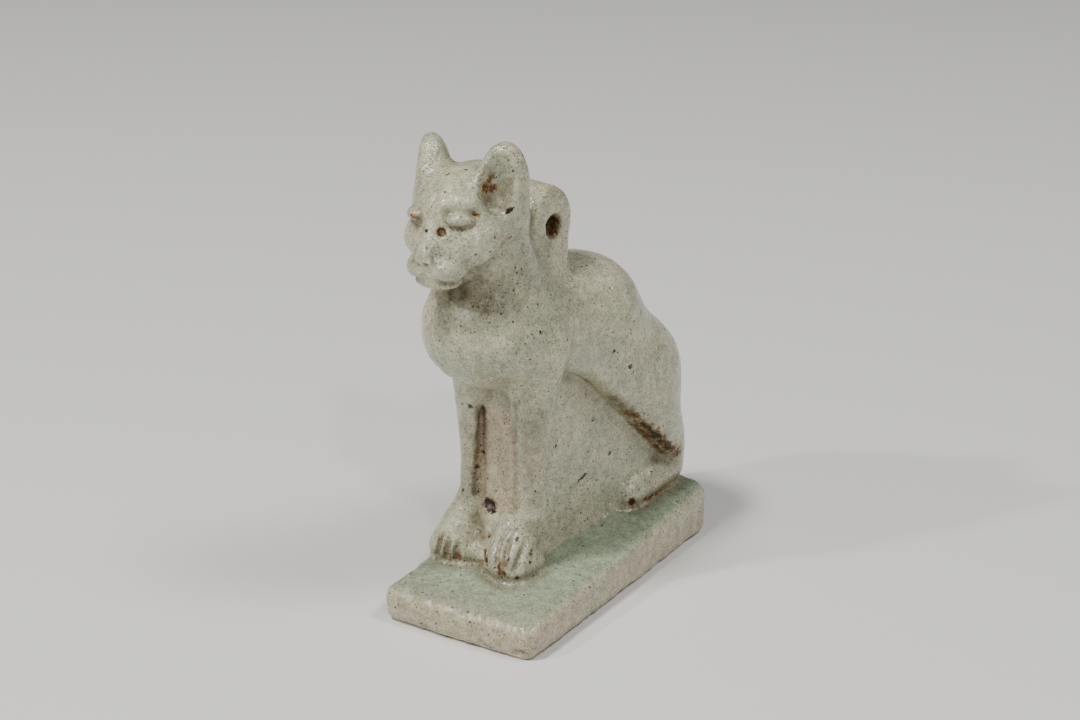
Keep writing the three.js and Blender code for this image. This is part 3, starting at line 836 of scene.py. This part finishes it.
def linear(red: int, green: int, blue: int) -> Colour:
    """Colour of a screen value from 0 to 255, as the shader needs it."""
    share = [value / 255 for value in (red, green, blue)]
    r, g, b = (v / 12.92 if v <= 0.04045 else ((v + 0.055) / 1.055) ** 2.4 for v in share)
    return (r, g, b, 1.0)


@dataclass(frozen=True)
class Cloud:
    """Shader noise, with its size in millimetres, stepped smoothly from one band to another."""

    size: float
    detail: float
    rough: float
    band: Band
    to: Band = (0.0, 1.0)


@dataclass(frozen=True)
class Specks:
    """Scattered specks: distance between them and radius in millimetres, and share that is there."""

    cell: float
    radius: float
    share: float
    shift: float
    share_edge: float = 0.96
    wobble: float = 0.8
    least: float = 0.4
    growth: float = 0.8
    core: float = 0.55


class Bench:
    """Makes and links the nodes of one material."""

    def __init__(self, name: str) -> None:
        """Starts a material with one principled shader."""
        self.material = bpy.data.materials.new(name)
        self.material.use_nodes = True
        self.tree = self.material.node_tree
        self.shader = self.tree.nodes["Principled BSDF"]
        self.place = self.millimetres()

    def node(
        self, kind: str, inputs: Mapping[int | str, object] | None = None, **settings: object
    ) -> bpy.types.Node:
        """A new node with its settings and inputs."""
        made = self.tree.nodes.new("ShaderNode" + kind)
        for key, value in settings.items():
            setattr(made, key, value)
        for key, value in (inputs or {}).items():
            self.feed(made.inputs[key], value)
        return made

    def feed(self, target: Socket, value: object) -> None:
        """Links a socket to a source, or sets it to a value."""
        if isinstance(value, Socket):
            self.tree.links.new(value, target)
        else:
            target.default_value = value

    def millimetres(self) -> Socket:
        """Place on the piece, in millimetres."""
        place = self.node("TexCoord").outputs["Object"]
        return self.node("VectorMath", {0: place, "Scale": 1.0 / MM}, operation="SCALE").outputs[0]

    def layer(self, name: str) -> Socket:
        """A vertex layer."""
        return self.node("Attribute", attribute_name=name).outputs["Fac"]

    def noise(self, size: float, detail: float, rough: float) -> Socket:
        """Noise with features of about that size in millimetres."""
        look = {"Vector": self.place, "Scale": 1.0 / size, "Detail": detail, "Roughness": rough}
        return self.node("TexNoise", look).outputs["Fac"]

    def remap(self, value: object, band: Band, to: Band = (0.0, 1.0)) -> Socket:
        """A value stepped smoothly from one band to another."""
        ends = {"From Min": band[0], "From Max": band[1], "To Min": to[0], "To Max": to[1]}
        made = self.node("MapRange", {"Value": value, **ends}, interpolation_type="SMOOTHSTEP", clamp=True)
        return made.outputs["Result"]

    def cloud(self, look: Cloud) -> Socket:
        """Noise stepped smoothly over its bands."""
        return self.remap(self.noise(look.size, look.detail, look.rough), look.band, look.to)

    def maths(self, operation: str, *values: object) -> Socket:
        """Values combined by an operation."""
        return self.node("Math", dict(enumerate(values)), operation=operation).outputs[0]

    def times(self, a: object, b: object) -> Socket:
        """Product of two values."""
        return self.maths("MULTIPLY", a, b)

    def plus(self, a: object, b: object) -> Socket:
        """Sum of two values."""
        return self.maths("ADD", a, b)

    def mix(self, share: object, a: object, b: object, blend: str = "MIX") -> Socket:
        """Two colours mixed by a share."""
        look = {"data_type": "RGBA", "blend_type": blend, "clamp_factor": True}
        return self.node("Mix", {0: share, 6: a, 7: b}, **look).outputs[2]

    def specks(self, look: Specks) -> Socket:
        """Scattered specks of uneven size and outline.

        Args:
            look: Their spacing, size and share.

        Returns:
            1 in the specks and 0 elsewhere.
        """
        cell, radius, shift = look.cell, look.radius, look.shift
        warp = self.node("TexNoise", {"Vector": self.place, "Scale": look.wobble / radius})
        sway = {0: warp.outputs["Color"], 1: (radius, radius, radius), 2: self.place}
        moved = self.node("VectorMath", sway, operation="MULTIPLY_ADD").outputs[0]
        away = self.node("VectorMath", {0: moved, 1: (shift, shift * 2.0, shift * 3.0)}, operation="ADD")
        cells = self.node("TexVoronoi", {"Vector": away.outputs[0], "Scale": 1.0 / cell}, feature="F1")
        parts = self.node("SeparateColor", {0: cells.outputs["Color"]}).outputs
        chosen = self.remap(parts[0], (look.share, look.share * look.share_edge))
        grown = self.times(parts[1], radius / cell)
        reach = self.maths("MULTIPLY_ADD", grown, look.growth, look.least * radius / cell)
        inside = self.remap(self.maths("DIVIDE", cells.outputs["Distance"], reach), (1.0, look.core))
        return self.times(chosen, inside)


@dataclass(frozen=True)
class Faience:
    """Pale glazed quartz faience, speckled and stained by its burial."""

    cream: Colour = linear(190, 184, 157)
    green: Colour = linear(150, 162, 137)
    pink: Colour = linear(184, 164, 138)
    # Colour of dust and of painted shade in hollows, creases, under the chin and on the neck and legs.
    dust_and_shade: Colour = linear(96, 84, 62)
    rust: Colour = linear(132, 92, 46)
    brown: Colour = linear(62, 40, 19)
    soot: Colour = linear(34, 30, 26)
    speck: Colour = linear(76, 68, 52)
    teal: Colour = linear(66, 118, 122)
    broad: Cloud = Cloud(3.2, 4.0, 0.6, (0.35, 0.7))
    cloudy: Cloud = Cloud(0.7, 4.0, 0.7, (0.35, 0.65), (0.82, 1.14))
    grainy: Cloud = Cloud(0.15, 3.0, 0.7, (0.33, 0.67), (0.78, 1.2))
    dust_and_shade_cloud: Cloud = Cloud(0.9, 3.0, 0.6, (0.3, 0.7), (0.45, 1.0))
    ragged: Cloud = Cloud(0.4, 5.0, 0.75, (0.3, 0.7), (-0.5, 0.5))
    dense: Cloud = Cloud(2.4, 3.0, 0.6, (0.35, 0.6), (0.35, 0.85))
    polish: Cloud = Cloud(0.8, 3.0, 0.6, (0.35, 0.75), (0.06, 0.2))
    broad_share: float = 0.45
    pink_share: float = 0.75
    rust_band: Band = (0.3, 0.8)
    brown_band: Band = (0.7, 1.1)
    soot_band: Band = (0.35, 0.8)
    fine_specks: Specks = Specks(0.17, 0.068, 0.72, 3.0)
    dark_specks: Specks = Specks(0.46, 0.095, 0.6, 7.0)
    large_specks: Specks = Specks(1.9, 0.17, 0.35, 31.0)
    stain_specks: Specks = Specks(0.22, 0.11, 0.85, 17.0)
    teal_specks: Specks = Specks(1.1, 0.13, 0.4, 13.0)
    dark_share: float = 0.92
    teal_share: float = 0.6
    rust_dullness: float = 0.3
    refraction: float = 1.5
    fine_grain: Triple = (0.14, 2.0, 0.5)
    coarse_grain: Triple = (0.42, 3.0, 0.6)
    pits: Specks = Specks(0.6, 0.09, 0.35, 21.0)
    fine_height: float = 0.18
    coarse_height: float = 1.5
    pit_height: float = -0.6
    grain_depth: float = 0.07

    def glaze(self, bench: Bench) -> Socket:
        """Colour of the glaze: cream, green and pink, mottled, with dust and painted shade in hollows and
        creases.
        """
        greenish = bench.plus(bench.layer("green"), bench.times(bench.cloud(self.broad), self.broad_share))
        colour = bench.mix(greenish, self.cream, self.green)
        colour = bench.mix(bench.times(bench.layer("pink"), self.pink_share), colour, self.pink)
        mottle = bench.times(bench.cloud(self.cloudy), bench.cloud(self.grainy))
        tint = bench.node("CombineColor", dict.fromkeys(range(3), mottle)).outputs[0]
        colour = bench.mix(1.0, colour, tint, "MULTIPLY")
        # Dust and painted shade darken the hollows, creases, chin and neck.
        return bench.mix(bench.times(bench.layer("dust_and_shade"), bench.cloud(self.dust_and_shade_cloud)), colour, self.dust_and_shade)

    def stained(self, bench: Bench, colour: Socket) -> Socket:
        """The colour with its rust and soot."""
        ragged = bench.cloud(self.ragged)
        rust = bench.plus(bench.layer("rust"), ragged)
        colour = bench.mix(bench.remap(rust, self.rust_band), colour, self.rust)
        colour = bench.mix(bench.remap(rust, self.brown_band), colour, self.brown)
        soot = bench.plus(bench.layer("soot"), ragged)
        return bench.mix(bench.remap(soot, self.soot_band), colour, self.soot)

    def speckled(self, bench: Bench, colour: Socket) -> Socket:
        """The colour with its specks."""
        fine = bench.times(bench.specks(self.fine_specks), bench.cloud(self.dense))
        colour = bench.mix(fine, colour, self.speck)
        dark = bench.times(bench.specks(self.dark_specks), self.dark_share)
        colour = bench.mix(dark, colour, self.soot)
        colour = bench.mix(bench.specks(self.large_specks), colour, self.soot)
        pitted = bench.times(bench.specks(self.stain_specks), bench.layer("rust"))
        colour = bench.mix(pitted, colour, self.soot)
        return bench.mix(bench.times(bench.specks(self.teal_specks), self.teal_share), colour, self.teal)

    def relief(self, bench: Bench) -> Socket:
        """Normal of the grain and the small pits."""
        fine = bench.times(bench.noise(*self.fine_grain), self.fine_height)
        coarse = bench.times(bench.noise(*self.coarse_grain), self.coarse_height)
        pits = bench.times(bench.specks(self.pits), self.pit_height)
        height = bench.plus(bench.plus(fine, coarse), pits)
        bump = {"Strength": 1.0, "Distance": self.grain_depth * MM, "Height": height}
        return bench.node("Bump", bump).outputs[0]

    def dress(self, piece: bpy.types.Object) -> None:
        """Gives the piece its material."""
        bench = Bench("faience")
        shader = bench.shader.inputs
        bench.feed(shader["Base Color"], self.speckled(bench, self.stained(bench, self.glaze(bench))))
        dull = bench.times(bench.layer("rust"), self.rust_dullness)
        bench.feed(shader["Roughness"], bench.plus(bench.cloud(self.polish), dull))
        bench.feed(shader["IOR"], self.refraction)
        bench.feed(shader["Normal"], self.relief(bench))
        piece.data.materials.append(bench.material)


@dataclass(frozen=True)
class Plain:
    """One even colour."""

    colour: Colour
    roughness: float

    def dress(self, piece: bpy.types.Object) -> None:
        """Gives the piece its material."""
        bench = Bench("plain")
        bench.feed(bench.shader.inputs["Base Color"], self.colour)
        bench.feed(bench.shader.inputs["Roughness"], self.roughness)
        piece.data.materials.append(bench.material)


# Studio


def toward(azimuth: float, elevation: float) -> Vector:
    """Unit vector out from the amulet, azimuth 0 in front and rising to its left, in degrees."""
    a, e = math.radians(azimuth), math.radians(elevation)
    return Vector((math.sin(a) * math.cos(e), -math.cos(a) * math.cos(e), math.sin(e)))


@dataclass(frozen=True)
class Lamp:
    """A soft square light that faces the amulet: degrees, metres and watts."""

    name: str
    azimuth: float
    elevation: float
    distance: float
    size: float
    power: float
    colour: Triple = (1.0, 1.0, 1.0)

    def build(self, aim: Vector) -> bpy.types.Object:
        """Makes the light."""
        way = toward(self.azimuth, self.elevation)
        data = bpy.data.lights.new(self.name, "AREA")
        data.size = self.size
        data.energy = self.power
        data.color = self.colour
        lamp = bpy.data.objects.new(self.name, data)
        lamp.location = aim + way * self.distance
        lamp.rotation_euler = way.to_track_quat("Z", "Y").to_euler()
        bpy.context.scene.collection.objects.link(lamp)
        return lamp


@dataclass(frozen=True)
class Studio:
    """Floor, soft lights and the camera at the photograph's angle."""

    eye: Triple = (79.550, -127.295, 76.584)
    azimuth: float = 32.35
    elevation: float = 21.79
    lens: float = 76.67
    sensor: float = 36.0
    nearest: float = 0.01
    aim_height: float = 17.0
    floor_size: float = 1.6
    floor: Plain = Plain(linear(232, 231, 227), 0.7)
    sky: Colour = (0.92, 0.95, 1.0, 1.0)
    sky_power: float = 0.1
    lamps: tuple[Lamp, ...] = (
        Lamp("key", -20.0, 62.0, 0.42, 0.07, 1.25, (1.0, 0.98, 0.95)),
        Lamp("spark", -32.0, 36.0, 0.45, 0.02, 0.6),
        Lamp("fill", 46.0, 42.0, 0.5, 0.025, 0.4),
        Lamp("top", 100.0, 58.0, 0.45, 0.12, 0.8),
    )

    def build(self) -> None:
        """Makes the floor, the lights, the sky and the camera."""
        self.lay_floor()
        for lamp in self.lamps:
            lamp.build(Vector((0.0, 0.0, self.aim_height * MM)))
        world = bpy.data.worlds.new("studio")
        world.use_nodes = True
        background = world.node_tree.nodes["Background"]
        background.inputs["Color"].default_value = self.sky
        background.inputs["Strength"].default_value = self.sky_power
        bpy.context.scene.world = world
        self.place_camera()

    def lay_floor(self) -> None:
        """Makes the floor."""
        half = self.floor_size / 2
        mesh = bpy.data.meshes.new("floor")
        corners = [(-half, -half, 0), (half, -half, 0), (half, half, 0), (-half, half, 0)]
        mesh.from_pydata(corners, [], [(0, 1, 2, 3)])
        floor = bpy.data.objects.new("floor", mesh)
        bpy.context.scene.collection.objects.link(floor)
        self.floor.dress(floor)

    def place_camera(self) -> None:
        """Makes the camera and looks through it."""
        back = toward(self.azimuth, self.elevation)
        right = toward(self.azimuth + 90.0, 0.0)
        up = back.cross(right)
        turn = Matrix((right, up, back)).transposed().to_4x4()
        data = bpy.data.cameras.new("camera")
        data.sensor_width = self.sensor
        data.lens = self.lens
        data.clip_start = self.nearest
        camera = bpy.data.objects.new("camera", data)
        camera.matrix_world = Matrix.Translation(Vector(self.eye) * MM) @ turn
        bpy.context.scene.collection.objects.link(camera)
        bpy.context.scene.camera = camera


# Stains and painted shade, placed in the cat's frame, in millimetres

RUST = SpotTone.RUST
SOOT = SpotTone.SOOT
DUST_AND_SHADE = SpotTone.DUST_AND_SHADE
EAR_SPOTS = (
    Spot((1.96, -8.07, 28.91), 0.8, RUST, 1.2, 0.05),
    Spot((2.02, -7.94, 29.5), 0.6, RUST, 0.8),
    Spot((1.99, -8.33, 28.16), 0.8, DUST_AND_SHADE, 1.0),
    Spot((3.36, -8.18, 27.44), 0.2, SOOT, 1.1, 0.0, (3.68, -7.75, 27.7)),
    Spot((-0.01, -8.21, 29.73), 0.25, SOOT, 0.9, 0.0, (0.47, -8.18, 29.74)),
)
EYE_SPOTS = (
    Spot((0.48, -11.19, 26.36), 0.55, RUST, 1.25, 0.1),
    Spot((2.11, -10.04, 27.57), 0.36, RUST, 0.8, 0.05, (2.32, -9.78, 27.58)),
    Spot((-2.01, -11.28, 27.11), 0.36, RUST, 0.8, 0.0, (-1.61, -11.26, 26.91)),
    Spot((-1.65, -11.03, 26.16), 0.5, DUST_AND_SHADE, 1.0),
    Spot((-0.32, -11.74, 26.44), 0.25, SOOT, 0.9),
    Spot((0.19, -12.38, 25.46), 0.22, SOOT, 0.9),
    Spot((0.84, -10.94, 27.66), 0.7, DUST_AND_SHADE, 0.7),
)
LOOP_SPOTS = (
    Spot((0.64, 0.6, 23.96), 0.9, RUST, 1.2),
    Spot((0.74, 0.35, 23.4), 0.9, RUST, 0.95),
    Spot((1.4, -1.31, 23.04), 1.2, DUST_AND_SHADE, 0.6),
    Spot((-0.25, -0.25, 24.0), 1.4, RUST, 0.75),
)
# The dust spots under the chin and on the neck are painted shade.
NECK_SPOTS = (
    Spot((3.29, -7.64, 25.64), 0.32, RUST, 0.9),
    Spot((2.96, -6.2, 25.39), 1.0, DUST_AND_SHADE, 0.6),
    Spot((0.32, -8.99, 21.54), 1.5, DUST_AND_SHADE, 1.0),
    Spot((-0.75, -9.16, 21.07), 1.4, DUST_AND_SHADE, 1.0),
    Spot((1.46, -8.49, 22.14), 1.4, DUST_AND_SHADE, 0.7),
    Spot((-0.72, -10.08, 18.86), 1.8, DUST_AND_SHADE, 0.4),
    Spot((2.36, -8.35, 21.25), 2.6, DUST_AND_SHADE, 0.8),
    Spot((2.94, -6.08, 23.4), 2.4, DUST_AND_SHADE, 0.35),
)
# The dust spots here are painted shade on the legs, in the leg grooves and between the paws, with some
# dust.
LEG_SPOTS = (
    Spot((-2.31, -5.88, 9.79), 1.6, DUST_AND_SHADE, 0.5, 0.0, (-2.53, -5.81, 5.09)),
    Spot((3.74, -5.83, 12.12), 1.6, DUST_AND_SHADE, 0.55, 0.0, (3.45, -5.7, 5.98)),
    Spot((-1.04, -5.64, 11.71), 0.5, DUST_AND_SHADE, 1.0, 0.0, (-1.58, -5.14, 8.51)),
    Spot((-1.58, -5.19, 8.83), 0.6, RUST, 0.5, 0.0, (-1.72, -5.11, 6.15)),
    Spot((-1.68, -5.15, 6.94), 0.5, RUST, 1.2),
    Spot((-1.28, -4.95, 8.06), 0.26, SOOT, 1.1),
    Spot((-1.54, -6.02, 11.86), 0.28, SOOT, 1.1),
    Spot((2.35, -5.72, 9.32), 0.24, SOOT, 1.0),
    Spot((-0.56, -5.13, 4.15), 0.85, RUST, 1.1, 0.12),
    Spot((-0.86, -5.08, 4.35), 0.45, SOOT, 1.1, 0.15, (-0.09, -5.26, 4.02)),
    Spot((2.7, -6.27, 13.11), 0.4, DUST_AND_SHADE, 0.8, 0.0, (2.33, -5.81, 10.25)),
    Spot((-1.17, -5.73, 3.5), 0.9, DUST_AND_SHADE, 0.9, 0.0, (-0.47, -6.28, 2.27)),
    Spot((-0.74, -6.1, 2.51), 0.35, RUST, 0.75),
    Spot((0.23, -6.14, 2.54), 0.35, RUST, 0.75),
)
PAW_SPOTS = (
    Spot((-2.16, -7.92, 0.68), 0.4, RUST, 1.1, 0.12),
    Spot((-1.54, -7.67, 0.73), 0.45, RUST, 1.2, 0.14),
    Spot((-1.55, -7.66, 0.69), 0.28, SOOT, 1.0),
    Spot((-3.1, -7.86, 2.02), 0.28, RUST, 0.7),
    Spot((0.22, -6.76, 1.42), 0.35, RUST, 1.15, 0.12, (1.17, -7.78, 1.33)),
    Spot((2.44, -8.04, 1.59), 0.5, RUST, 1.15, 0.12, (2.76, -8.0, 0.98)),
    Spot((2.44, -8.04, 1.59), 0.28, SOOT, 0.9),
    Spot((3.68, -5.78, 2.0), 0.5, RUST, 0.95, 0.1),
    Spot((3.9, -6.29, 1.57), 0.3, SOOT, 1.0),
    Spot((3.64, -7.49, 0.66), 0.28, SOOT, 1.1),
    Spot((2.94, -6.53, 3.15), 0.22, SOOT, 1.0),
)
FLANK_SPOTS = (
    Spot((4.11, 5.82, 1.6), 0.6, RUST, 1.2, 0.12),
    Spot((4.1, 5.84, 1.51), 0.32, SOOT, 1.0),
    Spot((4.27, 7.14, 1.39), 0.4, RUST, 0.8, 0.0, (4.27, 9.61, 1.37)),
    Spot((4.13, 4.98, 9.15), 1.0, RUST, 0.7, 0.04, (4.37, 6.82, 7.32)),
    Spot((4.37, 6.82, 7.32), 1.1, RUST, 0.95, 0.08, (4.74, 8.52, 5.63)),
    Spot((4.74, 8.52, 5.63), 0.9, RUST, 0.95, 0.08, (5.05, 10.21, 4.31)),
    Spot((4.25, 6.34, 7.77), 0.8, SOOT, 0.5, 0.0, (4.77, 8.74, 5.4)),
    Spot((3.92, 3.26, 10.76), 0.9, DUST_AND_SHADE, 1.0, 0.0, (4.14, 5.21, 8.91)),
    Spot((4.42, 4.72, 12.79), 0.3, SOOT, 1.1),
    Spot((2.74, 2.67, 8.95), 0.28, SOOT, 1.1),
    Spot((2.88, 4.37, 5.76), 0.3, SOOT, 1.1),
    Spot((2.53, 1.08, 4.56), 0.2, SOOT, 1.1, 0.0, (2.62, 2.17, 4.97)),
    Spot((4.32, 2.88, 14.49), 0.26, SOOT, 1.0),
    Spot((4.52, -5.86, 18.72), 0.25, SOOT, 0.9),
    Spot((3.7, 6.4, 7.8), 0.9, RUST, 0.8, 0.0, (4.0, 9.6, 4.6)),
)
SPOTS = EAR_SPOTS + EYE_SPOTS + LOOP_SPOTS + NECK_SPOTS + LEG_SPOTS + PAW_SPOTS + FLANK_SPOTS


@dataclass(frozen=True)
class AmuletPiece:
    """The amulet's visible piece: its form, its wear and its finish."""

    form: Amulet = Amulet()
    grid: Grid = Grid()
    wear: Weathering = Weathering(spots=SPOTS)
    tint: Tinting = Tinting()
    finish: Faience = Faience()

    def build(self) -> bpy.types.Object:
        """Makes the piece, dresses it and lets it stand for the CAD node."""
        piece = Carving(self.form, self.grid, self.wear, self.tint).build("amulet_skin")
        self.finish.dress(piece)
        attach(piece, "root")
        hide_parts(NODE)
        log.info("amulet: %d faces", len(piece.data.polygons))
        return piece


def main() -> None:
    """Builds the pieces in order and reports each."""
    logging.basicConfig(level=logging.INFO, format="%(name)s: %(message)s")
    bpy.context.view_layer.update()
    AmuletPiece().build()
    studio = Studio()
    studio.build()
    log.info("studio: floor, %d lights, camera", len(studio.lamps))


if __name__ == "__main__":
    main()
